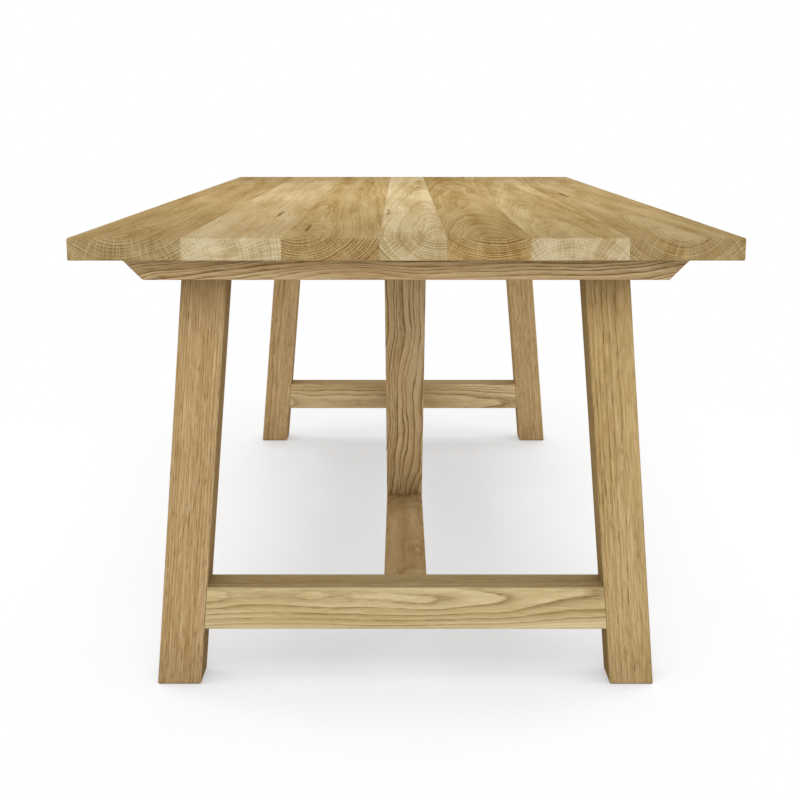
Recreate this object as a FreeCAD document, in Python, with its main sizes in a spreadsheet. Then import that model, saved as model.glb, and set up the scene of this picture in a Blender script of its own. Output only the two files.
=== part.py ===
# Trestle dining table in solid oak.
#
# X runs across the table, Y along it and Z up; the origin is on the floor under the middle of
# the top. Lengths are in millimetres and angles in degrees. The front trestle stands at -Y and
# the left legs at -X. Each trestle is two splayed legs, a lower rail and a wide bearer of three
# staves. A stretcher joins the lower rails, and a brace runs up from it to each bearer.
import FreeCAD, Part
import os
import Sketcher

doc = FreeCAD.newDocument("trestle_dining_table")

# ---------------------------------------------------------------------------------------------
# Sizes
# ---------------------------------------------------------------------------------------------
BOARDS = range(1, 8)

DRIVING_SIZES = [
    # Tabletop
    ("table_height", 740, "floor to the top's upper face"),
    ("top_length", 2200, "end to end"),
    ("top_thickness", 32, ""),
    ("board_1_width", 161, "left edge board"),
    ("board_2_width", 142, ""),
    ("board_3_width", 139, ""),
    ("board_4_width", 96, ""),
    ("board_5_width", 119, ""),
    ("board_6_width", 139, ""),
    ("board_7_width", 164, "right edge board"),
    ("arris", 1.5, "chamfer along every edge that a hand can reach"),
    # Trestles
    ("leg_width", 70, "across the table, square to the leg's slope"),
    ("leg_depth", 70, "along the table; the lower rail has the same depth"),
    ("splay_angle", 5, "lean of each leg from upright"),
    ("foot_inset", 76, "side of the top to the outer edge of a foot"),
    ("end_overhang", 172, "end of the top to the outer face of a leg"),
    ("foot_chamfer", 2.5, "round the foot, so that it can be dragged"),
    ("rail_clearance", 95, "floor to the underside of the lower rail"),
    ("rail_height", 70, ""),
    ("bearer_thickness", 32, ""),
    ("bearer_inset", 66, "side of the top to the tip of the bearer"),
    ("bearer_bevel", 45, "bevel on the bearer's ends, from upright"),
    ("stave_width", 110, "each of the three staves of a bearer"),
    # Stretcher and braces
    ("spine_width", 70, "stretcher and braces, across the table"),
    ("stretcher_height", 70, ""),
    ("brace_depth", 70, "square to the brace's slope"),
    ("brace_angle", 36.7, "lean of each brace from upright"),
    # Wedged through tenons, leg to bearer
    ("leg_tenon_width", 40, "across the table"),
    ("leg_tenon_depth", 50, "along the table"),
    ("tenon_gap", 0.5, "end of the tenon to the underside of the top"),
    ("wedge_length", 24, ""),
    ("wedge_thickness", 4, "at the thick end"),
    ("wedge_tip", 1, "at the thin end"),
    ("wedge_spacing", 20, "between the two wedges of a tenon"),
    # Blind tenons of the lower rails, the stretcher and the braces' feet
    ("rail_tenon_length", 40, ""),
    ("rail_tenon_thickness", 24, "along the table"),
    ("rail_tenon_height", 46, ""),
    ("stretcher_tenon_length", 20, ""),
    ("stretcher_tenon_width", 34, "across the table"),
    ("stretcher_tenon_height", 46, ""),
    ("foot_tenon_length", 20, ""),
    ("foot_tenon_width", 24, "across the table"),
    ("foot_tenon_depth", 46, "along the table"),
    ("mortise_relief", 1, "end of a blind tenon to its mortise's floor"),
    ("glue_gap", 0.1, "all round a tenon"),
    # Washer-head screws: up into the top, and outwards from a brace's head into the bearer
    ("screw_diameter", 6, ""),
    ("screw_point", 4, "length of the tapered point"),
    ("screw_head_diameter", 15, ""),
    ("screw_head_height", 3, ""),
    ("socket_width", 4, "hexagon socket, across flats"),
    ("socket_depth", 2, ""),
    ("thread_gap", 0.1, "all round a thread or an insert"),
    ("shank_gap", 0.5, "all round a screw or stud in its clearance hole"),
    ("head_gap", 1, "all round a screw's head in its counterbore"),
    ("screw_row", 250, "middle of the table to a row of top screws"),
    ("slot_travel", 12, "play along the slots, for the top's movement across its grain"),
    ("top_screw_bite", 23, "length of screw in the top"),
    ("head_screw_spacing", 30, "between the two screws of a brace's head"),
    ("head_screw_grip", 60, "wood under the head of such a screw"),
    ("head_screw_bite", 30, "length of such a screw in the bearer"),
    # Stud, insert, half-moon washer and nut: stretcher to lower rail
    ("stud_diameter", 8, ""),
    ("insert_diameter", 12, ""),
    ("insert_length", 15, ""),
    ("recess_diameter", 32, "hole under the stretcher for the nut"),
    ("recess_distance", 54, "stretcher's shoulder to the middle of the recess"),
    ("recess_roof", 20, "wood left over the recess"),
    ("half_moon_thickness", 8, "at its middle"),
    ("half_moon_height", 20, ""),
    ("nut_width", 13, "across flats"),
    ("nut_height", 6.5, ""),
    ("stud_protrusion", 1.5, "end of the stud past the nut"),
]

DERIVED_SIZES = [
    ("top_width", "=" + " + ".join(f"board_{n}_width" for n in BOARDS), ""),
    ("under_top", "=table_height - top_thickness", "underside of the top"),
    ("under_bearer", "=under_top - bearer_thickness", "underside of the bearers"),
    # Legs
    ("slope", "=tan(splay_angle)", "lean of a leg for each unit of height"),
    ("leg_run", "=leg_width / cos(splay_angle)", "leg measured level"),
    ("foot_reach", "=top_width / 2 - foot_inset", "middle to the outer edge of a foot"),
    ("leg_middle", "=foot_reach - leg_run / 2", "middle of the table to the middle of a foot"),
    ("trestle_y", "=top_length / 2 - end_overhang - leg_depth / 2", "to a trestle's middle"),
    ("tenon_top", "=under_top - tenon_gap", ""),
    # Lower rails
    ("rail_top", "=rail_clearance + rail_height", ""),
    ("rail_middle", "=rail_clearance + rail_height / 2", ""),
    ("rail_tenon_low", "=rail_middle - rail_tenon_height / 2", ""),
    ("rail_tenon_high", "=rail_middle + rail_tenon_height / 2", ""),
    ("shoulder_reach", "=foot_reach - leg_run", "middle to a leg's inner face, at the floor"),
    # Bearers
    ("bearer_reach", "=top_width / 2 - bearer_inset", "middle to the tip of a bearer"),
    ("bevel_run", "=bearer_thickness * tan(bearer_bevel)", ""),
    ("bearer_inner", "=trestle_y - 1.5 * stave_width", "middle to a bearer's inner edge"),
    # Stretcher
    ("stretcher_underside", "=rail_top - stretcher_height", ""),
    ("stretcher_middle", "=rail_top - stretcher_height / 2", ""),
    ("stretcher_reach", "=trestle_y - leg_depth / 2", "middle to a shoulder of the stretcher"),
    ("stretcher_end", "=stretcher_reach + stretcher_tenon_length", "middle to a tenon's end"),
    ("rail_mortise_floor", "=stretcher_end + mortise_relief", "middle to the floor"),
    ("recess_reach", "=stretcher_reach - recess_distance", "middle to the recess's axis"),
    ("recess_depth", "=stretcher_height - recess_roof", ""),
    ("chord_offset", "=recess_diameter / 2 - half_moon_thickness", "flat of a half-moon washer"),
    ("stud_end", "=rail_mortise_floor + insert_length", "middle to a stud's outer end"),
    ("nut_seat", "=recess_reach + chord_offset", "middle to a half-moon washer's flat"),
    ("stud_length", "=stud_end - nut_seat + nut_height + stud_protrusion", ""),
    # Braces
    ("brace_slope", "=tan(brace_angle)", "lean of a brace for each unit of height"),
    ("brace_run", "=brace_depth / cos(brace_angle)", "brace measured level"),
    ("brace_toe", "=bearer_inner - (under_bearer - rail_top) * brace_slope", "foot, outer edge"),
    ("brace_heel", "=brace_toe - brace_run", "foot, inner edge"),
    ("brace_foot", "=(brace_toe + brace_heel) / 2", "middle of the foot"),
    ("brace_crown", "=brace_heel + (under_top - rail_top) * brace_slope", "head, inner edge"),
    ("head_screw_level", "=under_top - bearer_thickness / 2", ""),
    ("head_screw_seat", "=bearer_inner - head_screw_grip", ""),
    # Screw lengths under the head
    ("top_screw_length", "=bearer_thickness + top_screw_bite", ""),
    ("head_screw_length", "=head_screw_grip + head_screw_bite", ""),
    # Holes
    ("screw_pilot", "=screw_diameter + 2 * thread_gap", ""),
    ("screw_clearance", "=screw_diameter + 2 * shank_gap", ""),
    ("counterbore", "=screw_head_diameter + 2 * head_gap", ""),
    ("stud_bore", "=stud_diameter + 2 * thread_gap", "in a nut or an insert"),
    ("stud_clearance", "=stud_diameter + 2 * shank_gap", ""),
    ("insert_hole", "=insert_diameter + 2 * thread_gap", ""),
]
for board in BOARDS:
    widths_before = "".join(f" + board_{n}_width" for n in range(1, board))
    DERIVED_SIZES.append(
        (f"board_{board}_middle", f"=-top_width / 2{widths_before} + board_{board}_width / 2", "")
    )

sizes = doc.addObject("Spreadsheet::Sheet", "Sizes")
for row, (alias, content, meaning) in enumerate(DRIVING_SIZES + DERIVED_SIZES, 1):
    sizes.set(f"A{row}", alias)
    sizes.set(f"B{row}", str(content))
    sizes.setAlias(f"B{row}", alias)
    sizes.set(f"C{row}", meaning)
doc.recompute()


def number(expression):
    """The present value of an expression on the sheet's sizes."""
    return float(sizes.evalExpression(expression))


# ---------------------------------------------------------------------------------------------
# Directions and turns. The rear half of the table is the front half turned about Z, and so is
# a right leg a left one.
# ---------------------------------------------------------------------------------------------
ACROSS = FreeCAD.Vector(1, 0, 0)
ALONG = FreeCAD.Vector(0, 1, 0)
UP = FreeCAD.Vector(0, 0, 1)

UPRIGHT = FreeCAD.Rotation()
HALF_TURN = FreeCAD.Rotation(-ACROSS, -ALONG, UP)
OUTWARDS = FreeCAD.Rotation(UP, -ALONG)
INWARDS = FreeCAD.Rotation(UP, ALONG)

ENDS = {"front": UPRIGHT, "rear": HALF_TURN}
SIDES = {"left": UPRIGHT, "right": HALF_TURN}


# ---------------------------------------------------------------------------------------------
# Sketches and features
# ---------------------------------------------------------------------------------------------
MIDDLE = ("0", "0")

nodes = []


def new_node(kind, label):
    """An object that is written to a file of its own, named after its label."""
    node = doc.addObject(kind, label)
    node.Label = label
    nodes.append(node)
    return node


def place(thing, x, y, z, rotation=UPRIGHT):
    """Rotate a thing and bind its place."""
    thing.Placement = FreeCAD.Placement(FreeCAD.Vector(), rotation)
    thing.setExpression("Placement.Base.x", x)
    thing.setExpression("Placement.Base.y", y)
    thing.setExpression("Placement.Base.z", z)


def stand(body, end, distance):
    """Put a body at a distance from the table's middle, towards one end."""
    sign = "-" if end == "front" else ""
    place(body, "0", f"{sign}({distance})", "0", ENDS[end])


def origin_plane(body, role):
    return next(item for item in body.Origin.OriginFeatures if item.Role == role)


def new_sketch(body, name, plane, lift="0"):
    """A sketch on one of the body's own planes, lifted along that plane's normal.

    The normals are +Z for XY_Plane, -Y for XZ_Plane and +X for YZ_Plane.
    """
    sketch = body.newObject("Sketcher::SketchObject", name)
    sketch.AttachmentSupport = (origin_plane(body, plane), [""])
    sketch.MapMode = "FlatFace"
    sketch.setExpression("AttachmentOffset.Base.z", lift)
    return sketch


def dimension(sketch, kind, places, expression):
    """Add a dimension that is bound to the sheet."""
    index = sketch.addConstraint(Sketcher.Constraint(kind, *places, number(expression)))
    sketch.setExpression(f"Constraints[{index}]", expression)


def locate(sketch, geometry, point, place_of_point):
    """Dimension one point of the sketch from the sketch's origin, both ways."""
    dimension(sketch, "DistanceX", (-1, 1, geometry, point), place_of_point[0])
    dimension(sketch, "DistanceY", (-1, 1, geometry, point), place_of_point[1])


def draw_polygon(sketch, corners):
    """A closed outline of straight lines, with each corner located from the origin."""
    points = [FreeCAD.Vector(number(u), number(v), 0) for u, v in corners]
    first = sketch.GeometryCount
    for start, end in zip(points, points[1:] + points[:1]):
        sketch.addGeometry(Part.LineSegment(start, end))
    for index, corner in enumerate(corners):
        previous = first + (index - 1) % len(corners)
        sketch.addConstraint(Sketcher.Constraint("Coincident", previous, 2, first + index, 1))
        locate(sketch, first + index, 1, corner)


def draw_rectangle(sketch, low, high):
    draw_polygon(sketch, [low, (high[0], low[1]), high, (low[0], high[1])])


def draw_tenon(sketch, centre, width, height, gap="0"):
    """The section of a tenon, or of its mortise with a gap all round."""
    half_width, half_height = f"({width} / 2 + {gap})", f"({height} / 2 + {gap})"
    draw_rectangle(sketch, (f"{centre[0]} - {half_width}", f"{centre[1]} - {half_height}"),
                   (f"{centre[0]} + {half_width}", f"{centre[1]} + {half_height}"))


def draw_hexagon(sketch, width):
    """A hexagon about the origin, of a width across its flats."""
    reach = f"{width} / sqrt(3)"
    angles = [60 * step for step in range(6)]
    draw_polygon(sketch, [(f"{reach} * cos({a})", f"{reach} * sin({a})") for a in angles])


def draw_circle(sketch, centre, diameter):
    middle = FreeCAD.Vector(number(centre[0]), number(centre[1]), 0)
    circle = Part.Circle(middle, UP, number(diameter) / 2)
    index = sketch.addGeometry(circle)
    locate(sketch, index, 3, centre)
    dimension(sketch, "Diameter", (index,), diameter)


def draw_slot(sketch, centre, width, travel):
    """A round-ended slot along the sketch's first axis."""
    radius = f"{width} / 2"
    left, right = f"{centre[0]} - {travel} / 2", f"{centre[0]} + {travel} / 2"
    below, above = f"{centre[1]} - {radius}", f"{centre[1]} + {radius}"
    first = sketch.GeometryCount
    corners = [(left, below), (right, below), (right, above), (left, above)]
    points = [FreeCAD.Vector(number(u), number(v), 0) for u, v in corners]
    half_turn = FreeCAD.Vector(number(radius), 0, 0)
    sketch.addGeometry(Part.LineSegment(points[0], points[1]))
    sketch.addGeometry(Part.Arc(points[1], (points[1] + points[2]) / 2 + half_turn, points[2]))
    sketch.addGeometry(Part.LineSegment(points[2], points[3]))
    sketch.addGeometry(Part.Arc(points[3], (points[3] + points[0]) / 2 - half_turn, points[0]))
    # Both arcs run anticlockwise, so each starts where the line before it ends.
    for index in range(4):
        before, after = first + index, first + (index + 1) % 4
        sketch.addConstraint(Sketcher.Constraint("Coincident", before, 2, after, 1))
    locate(sketch, first, 1, corners[0])
    locate(sketch, first, 2, corners[1])
    locate(sketch, first + 2, 1, corners[2])
    locate(sketch, first + 2, 2, corners[3])
    dimension(sketch, "DistanceX", (-1, 1, first + 1, 3), right)
    dimension(sketch, "DistanceX", (-1, 1, first + 3, 3), left)


def pad(body, name, sketch, length, side="One side", along_normal=True):
    """Raise a sketch's outlines into a solid, along the sketch's normal or against it."""
    feature = body.newObject("PartDesign::Pad", name)
    feature.Profile = sketch
    feature.SideType = side
    feature.Reversed = not along_normal
    feature.setExpression("Length", length)
    doc.recompute()
    return feature


def pocket(body, name, sketch, depth, side="One side", along_normal=False):
    """Cut a sketch's outlines into the body, against the sketch's normal or along it."""
    volume_before = body.Shape.Volume
    feature = body.newObject("PartDesign::Pocket", name)
    feature.Profile = sketch
    feature.SideType = side
    feature.Reversed = along_normal
    feature.setExpression("Length", depth)
    doc.recompute()
    if not feature.Shape.Volume < volume_before:
        raise RuntimeError(f"{body.Label}: {name} cuts nothing")
    return feature


def drill(body, name, plane, lift, spots, diameter, depth, along_normal=False):
    """Round holes of one size, all from the same level."""
    sketch = new_sketch(body, f"{name}_sketch", plane, lift)
    for spot in spots:
        draw_circle(sketch, spot, diameter)
    return pocket(body, name, sketch, depth, along_normal=along_normal)


def mirror(body, features, plane):
    """Repeat features on the other side of one of the body's planes."""
    mirrored = body.newObject("PartDesign::Mirrored", "other_end")
    mirrored.Originals = features
    mirrored.MirrorPlane = (origin_plane(body, plane), [""])
    body.Tip = mirrored
    doc.recompute()


def runs_along(edge, direction):
    """Whether an edge is straight and parallel to a direction."""
    if not isinstance(edge.Curve, Part.Line):
        return False
    return edge.tangentAt(edge.FirstParameter).cross(direction).Length < 1e-6


def chamfer(body, name, base, chosen, size):
    """Chamfer the edges of a feature that the function chosen picks."""
    names = [f"Edge{n}" for n, edge in enumerate(base.Shape.Edges, 1) if chosen(edge)]
    feature = body.newObject("PartDesign::Chamfer", name)
    feature.Base = (base, names)
    feature.setExpression("Size", size)
    doc.recompute()
    return feature


def break_arrises(body, base, chosen):
    return chamfer(body, "broken_arrises", base, chosen, "Sizes.arris")


def copies(label, master, spots):
    """One node of like pieces: the front trestle's spots, and the same turned to the rear.

    A spot is x, y, z and the rotation of its piece.
    """
    group = new_node("Part::Compound", label)
    links = []
    for end, turn in ENDS.items():
        sign = "" if end == "front" else "-"
        for index, (x, y, z, rotation) in enumerate(spots, 1):
            link = doc.addObject("App::Link", f"{label}_{end}_{index}")
            link.LinkedObject = master
            place(link, f"{sign}({x})", f"{sign}({y})", z, turn * rotation)
            links.append(link)
    group.Links = links


# ---------------------------------------------------------------------------------------------
# Tabletop: seven edge-glued boards
# ---------------------------------------------------------------------------------------------
SCREW_ROWS = ("-Sizes.screw_row", "Sizes.screw_row")
OUTER_STAVE = "Sizes.trestle_y + Sizes.stave_width"
MIDDLE_STAVE = "Sizes.trestle_y"
INNER_STAVE = "Sizes.trestle_y - Sizes.stave_width"
TOP_SCREWS = [(x, f"-({y})") for y in (OUTER_STAVE, INNER_STAVE) for x in SCREW_ROWS]


def make_top_board(index):
    """One board, chamfered along the outside of the top, with pilot holes in its underside."""
    board = new_node("PartDesign::Body", f"top_board_{index}")
    width = f"Sizes.board_{index}_width"
    middle = f"Sizes.board_{index}_middle"
    face = new_sketch(board, "face", "XY_Plane")
    draw_rectangle(
        face, (f"-{width} / 2", "-Sizes.top_length / 2"), (f"{width} / 2", "Sizes.top_length / 2")
    )
    blank = pad(board, "blank", face, "Sizes.top_thickness")

    outer_sides = [side for side, last in ((-1, BOARDS[0]), (1, BOARDS[-1])) if index == last]
    half_width = number(width) / 2

    def on_the_outside(edge):
        if runs_along(edge, ACROSS):
            return True
        return any(abs(edge.CenterOfMass.x - side * half_width) < 1e-6 for side in outer_sides)

    break_arrises(board, blank, on_the_outside)

    def meets_board(x):
        return abs(number(x) - number(middle)) < half_width + number("Sizes.screw_pilot") / 2

    spots = [(f"{x} - {middle}", f"{sign}({y})")
             for x, y in TOP_SCREWS if meets_board(x) for sign in ("", "-")]
    if spots:
        drill(board, "pilot_holes", "XY_Plane", "0", spots, "Sizes.screw_pilot",
              "Sizes.top_screw_bite", along_normal=True)
    place(board, middle, "0", "Sizes.under_top")


# ---------------------------------------------------------------------------------------------
# Trestles: bearers, legs and lower rails. Each piece is drawn on the trestle's middle plane,
# with the outer side of the front trestle at -Y.
# ---------------------------------------------------------------------------------------------
def leaning(reach, height):
    """A point at a reach from the middle at the floor, as the left legs lean, at a height."""
    return f"-({reach}) + {height} * Sizes.slope", height


def leaning_strip(left, right, low, high):
    """An outline between two levels whose sides lean as the left legs do."""
    return [leaning(left, low), leaning(right, low), leaning(right, high), leaning(left, high)]


def mirrored_outline(corners):
    """The same outline on the other side of the middle."""
    return [(f"-({u})", v) for u, v in corners]


def make_bearer_stave(end, name, distance):
    """One stave of a bearer: outer and inner ones take screws, the middle one the legs' tenons."""
    stave = new_node("PartDesign::Body", f"bearer_{end}_{name}_stave")
    profile = new_sketch(stave, "profile", "XZ_Plane")
    tip = "Sizes.bearer_reach"
    heel = "Sizes.bearer_reach - Sizes.bevel_run"
    low, high = "Sizes.under_bearer", "Sizes.under_top"
    draw_polygon(profile, [(f"-({heel})", low), (heel, low), (tip, high), (f"-{tip}", high)])
    blank = pad(stave, "blank", profile, "Sizes.stave_width", "Symmetric")

    outside = number("Sizes.stave_width") / 2 * {"outer": -1, "middle": 0, "inner": 1}[name]
    top = number(high)

    def in_reach(edge):
        if edge.BoundBox.ZMin > top - 1e-6:
            return False
        return runs_along(edge, ALONG) or (name != "middle" and abs(edge.CenterOfMass.y - outside) < 1e-6)

    break_arrises(stave, blank, in_reach)
    if name == "middle":
        mortises = new_sketch(stave, "mortise_sketch", "XZ_Plane")
        half = "(Sizes.leg_tenon_width / 2 + Sizes.glue_gap)"
        left = leaning_strip(f"Sizes.leg_middle + {half}", f"Sizes.leg_middle - {half}", low, high)
        draw_polygon(mortises, left)
        draw_polygon(mortises, mirrored_outline(left))
        pocket(stave, "mortises", mortises, "Sizes.leg_tenon_depth + 2 * Sizes.glue_gap",
               "Symmetric")
    else:
        slots = new_sketch(stave, "slot_sketch", "XY_Plane", low)
        for x in SCREW_ROWS:
            draw_slot(slots, (x, "0"), "Sizes.screw_clearance", "Sizes.slot_travel")
        pocket(stave, "slots", slots, "Sizes.bearer_thickness", along_normal=True)
    if name == "inner":
        drill(stave, "pilot_holes", "XZ_Plane", "-Sizes.stave_width / 2", HEAD_SCREWS,
              "Sizes.screw_pilot", "Sizes.head_screw_bite", along_normal=True)
    stand(stave, end, distance)


def make_leg(end, side):
    """A splayed leg: wedged through tenon above, blind mortise for the lower rail inside."""
    leg = new_node("PartDesign::Body", f"leg_{end}_{side}")
    profile = new_sketch(leg, "profile", "XZ_Plane")
    draw_polygon(profile, leaning_strip("Sizes.foot_reach", "Sizes.shoulder_reach", "0",
                                        "Sizes.under_bearer"))
    blank = pad(leg, "blank", profile, "Sizes.leg_depth", "Symmetric")
    lean = FreeCAD.Vector(number("Sizes.slope"), 0, 1)
    foot = chamfer(leg, "foot", blank, lambda edge: edge.BoundBox.ZMax < 1e-6,
                   "Sizes.foot_chamfer")
    break_arrises(leg, foot, lambda edge: runs_along(edge, lean))

    half = "Sizes.leg_tenon_width / 2"
    tenon = new_sketch(leg, "tenon_sketch", "XZ_Plane")
    draw_polygon(tenon, leaning_strip(f"Sizes.leg_middle + {half}", f"Sizes.leg_middle - {half}",
                                      "Sizes.under_bearer", "Sizes.tenon_top"))
    pad(leg, "tenon", tenon, "Sizes.leg_tenon_depth", "Symmetric")

    kerfs = new_sketch(leg, "kerf_sketch", "XZ_Plane")
    for offset in WEDGE_OFFSETS:
        draw_polygon(kerfs, wedge_outline(f"{WEDGE_LINE} + {offset}", "Sizes.tenon_top"))
    pocket(leg, "kerfs", kerfs, "Sizes.leg_tenon_depth", "Symmetric")

    mortise = new_sketch(leg, "mortise_sketch", "XZ_Plane")
    floor = "Sizes.shoulder_reach + Sizes.rail_tenon_length + Sizes.mortise_relief"
    draw_polygon(mortise, leaning_strip(floor, "Sizes.shoulder_reach",
                                        "(Sizes.rail_tenon_low - Sizes.glue_gap)",
                                        "(Sizes.rail_tenon_high + Sizes.glue_gap)"))
    pocket(leg, "mortise", mortise, "Sizes.rail_tenon_thickness + 2 * Sizes.glue_gap",
           "Symmetric")
    sign = "-" if end == "front" else ""
    place(leg, "0", f"{sign}Sizes.trestle_y", "0", SIDES[side])


def make_lower_rail(end):
    """A rail between two legs, its shoulders cut to their slope, with a tenon at each end."""
    rail = new_node("PartDesign::Body", f"lower_rail_{end}")
    profile = new_sketch(rail, "profile", "XZ_Plane")
    left = [leaning("Sizes.shoulder_reach", z) for z in ("Sizes.rail_clearance", "Sizes.rail_top")]
    draw_polygon(profile, left + mirrored_outline(left[::-1]))
    blank = pad(rail, "blank", profile, "Sizes.leg_depth", "Symmetric")
    break_arrises(rail, blank, lambda edge: runs_along(edge, ACROSS))

    tenons = new_sketch(rail, "tenon_sketch", "XZ_Plane")
    reach = "Sizes.shoulder_reach + Sizes.rail_tenon_length"
    left = [leaning(reach, z) for z in ("Sizes.rail_tenon_low", "Sizes.rail_tenon_high")]
    draw_polygon(tenons, left + mirrored_outline(left[::-1]))
    pad(rail, "tenons", tenons, "Sizes.rail_tenon_thickness", "Symmetric")

    mortise = new_sketch(rail, "mortise_sketch", "XZ_Plane", "-Sizes.leg_depth / 2")
    draw_tenon(mortise, STUD_SPOT, "Sizes.stretcher_tenon_width",
               "Sizes.stretcher_tenon_height", "Sizes.glue_gap")
    depth = "Sizes.stretcher_tenon_length + Sizes.mortise_relief"
    pocket(rail, "mortise", mortise, depth, along_normal=True)
    drill(rail, "insert_hole", "XZ_Plane", f"-Sizes.leg_depth / 2 + {depth}", [STUD_SPOT],
          "Sizes.insert_hole", "Sizes.insert_length", along_normal=True)
    stand(rail, end, "Sizes.trestle_y")


# ---------------------------------------------------------------------------------------------
# Wedges: two in each leg's through tenon, driven in line with the leg
# ---------------------------------------------------------------------------------------------
WEDGE_LINE = "-Sizes.leg_middle + Sizes.tenon_top * Sizes.slope"
WEDGE_OFFSETS = ("-Sizes.wedge_spacing / 2", "Sizes.wedge_spacing / 2")


def wedge_outline(x, top):
    """The tapered outline of a wedge whose thick end is at the given place."""
    tip_x = f"{x} - Sizes.wedge_length * Sizes.slope"
    tip_z = f"{top} - Sizes.wedge_length"
    return [(f"{x} - Sizes.wedge_thickness / 2", top), (f"{tip_x} - Sizes.wedge_tip / 2", tip_z),
            (f"{tip_x} + Sizes.wedge_tip / 2", tip_z), (f"{x} + Sizes.wedge_thickness / 2", top)]


def make_wedges():
    wedge = doc.addObject("PartDesign::Body", "wedge")
    profile = new_sketch(wedge, "profile", "XZ_Plane")
    draw_polygon(profile, wedge_outline("0", "0"))
    pad(wedge, "blank", profile, "Sizes.leg_tenon_depth", "Symmetric")
    spots = []
    for offset in WEDGE_OFFSETS:
        x = f"{WEDGE_LINE} + {offset}"
        spots.append((x, "-Sizes.trestle_y", "Sizes.tenon_top", SIDES["left"]))
        spots.append((f"-({x})", "-Sizes.trestle_y", "Sizes.tenon_top", SIDES["right"]))
    copies("tenon_wedges", wedge, spots)


# ---------------------------------------------------------------------------------------------
# Stretcher and braces
# ---------------------------------------------------------------------------------------------
STUD_SPOT = ("0", "Sizes.stretcher_middle")
HEAD_SCREWS = [(f"{sign}Sizes.head_screw_spacing / 2", "Sizes.head_screw_level")
               for sign in ("-", "")]
HALF_SPINE = "Sizes.spine_width / 2"


def make_stretcher():
    """The long rail: a tenon at each end, mortises for the braces and recesses for the nuts."""
    stretcher = new_node("PartDesign::Body", "stretcher")
    section = new_sketch(stretcher, "section", "XZ_Plane")
    draw_rectangle(section, (f"-{HALF_SPINE}", "Sizes.stretcher_underside"),
                   (HALF_SPINE, "Sizes.rail_top"))
    blank = pad(stretcher, "blank", section, "2 * Sizes.stretcher_reach", "Symmetric")
    break_arrises(stretcher, blank, lambda edge: runs_along(edge, ALONG))

    tenons = new_sketch(stretcher, "tenon_sketch", "XZ_Plane")
    draw_tenon(tenons, STUD_SPOT, "Sizes.stretcher_tenon_width", "Sizes.stretcher_tenon_height")
    pad(stretcher, "tenons", tenons, "2 * Sizes.stretcher_end", "Symmetric")

    mortise = new_sketch(stretcher, "mortise_sketch", "XY_Plane", "Sizes.rail_top")
    draw_tenon(mortise, ("0", "-Sizes.brace_foot"), "Sizes.foot_tenon_width",
               "Sizes.foot_tenon_depth", "Sizes.glue_gap")
    front_end = [
        pocket(stretcher, "brace_mortise", mortise,
               "Sizes.foot_tenon_length + Sizes.mortise_relief"),
        drill(stretcher, "recess", "XY_Plane", "Sizes.stretcher_underside",
              [("0", "-Sizes.recess_reach")], "Sizes.recess_diameter", "Sizes.recess_depth",
              along_normal=True),
        drill(stretcher, "stud_hole", "XZ_Plane", "Sizes.stretcher_end", [STUD_SPOT],
              "Sizes.stud_clearance", "Sizes.stretcher_tenon_length + Sizes.recess_distance"),
    ]
    mirror(stretcher, front_end, "XZ_Plane")


def make_brace(end):
    """A brace cut level on the stretcher and under the top, and upright on the bearer's edge."""
    brace = new_node("PartDesign::Body", f"brace_{end}")
    profile = new_sketch(brace, "profile", "YZ_Plane")
    draw_polygon(profile, [
        ("-Sizes.brace_heel", "Sizes.rail_top"),
        ("-Sizes.brace_toe", "Sizes.rail_top"),
        ("-Sizes.bearer_inner", "Sizes.under_bearer"),
        ("-Sizes.bearer_inner", "Sizes.under_top"),
        ("-Sizes.brace_crown", "Sizes.under_top"),
    ])
    blank = pad(brace, "blank", profile, "Sizes.spine_width", "Symmetric")
    lean = FreeCAD.Vector(0, -number("Sizes.brace_slope"), 1)
    break_arrises(brace, blank, lambda edge: runs_along(edge, lean))

    tenon = new_sketch(brace, "tenon_sketch", "XY_Plane", "Sizes.rail_top")
    draw_tenon(tenon, ("0", "-Sizes.brace_foot"), "Sizes.foot_tenon_width",
               "Sizes.foot_tenon_depth")
    pad(brace, "tenon", tenon, "Sizes.foot_tenon_length", along_normal=False)

    drill(brace, "screw_holes", "XZ_Plane", "Sizes.bearer_inner", HEAD_SCREWS,
          "Sizes.screw_clearance", "Sizes.head_screw_grip")
    drill(brace, "counterbores", "XZ_Plane", "Sizes.head_screw_seat", HEAD_SCREWS,
          "Sizes.counterbore", "Sizes.brace_run")
    place(brace, "0", "0", "0", ENDS[end])


# ---------------------------------------------------------------------------------------------
# Steel fixings. Each master stands on the origin and points up.
# ---------------------------------------------------------------------------------------------
def make_screw(name, length):
    """A screw whose bearing face is on the origin, with its washer head below it."""
    screw = doc.addObject("PartDesign::Body", name)
    head, shank = "Sizes.screw_head_diameter / 2", "Sizes.screw_diameter / 2"
    profile = new_sketch(screw, "half_profile", "XZ_Plane")
    draw_polygon(profile, [
        ("0", "-Sizes.screw_head_height"),
        (head, "-Sizes.screw_head_height"),
        (head, "0"),
        (shank, "0"),
        (shank, f"{length} - Sizes.screw_point"),
        ("0", length),
    ])
    turned = screw.newObject("PartDesign::Revolution", "turned")
    turned.Profile = profile
    turned.ReferenceAxis = (profile, ["V_Axis"])
    doc.recompute()
    socket = new_sketch(screw, "socket_section", "XY_Plane", "-Sizes.screw_head_height")
    draw_hexagon(socket, "Sizes.socket_width")
    pocket(screw, "socket", socket, "Sizes.socket_depth", along_normal=True)
    return screw


def make_bar(name, draw_section, length):
    """A piece of one section, such as a stud, an insert or a nut."""
    bar = doc.addObject("PartDesign::Body", name)
    section = new_sketch(bar, "section", "XY_Plane")
    draw_section(section)
    pad(bar, "blank", section, length)
    return bar


def insert_section(sketch):
    draw_circle(sketch, MIDDLE, "Sizes.insert_diameter")
    draw_circle(sketch, MIDDLE, "Sizes.stud_bore")


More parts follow.
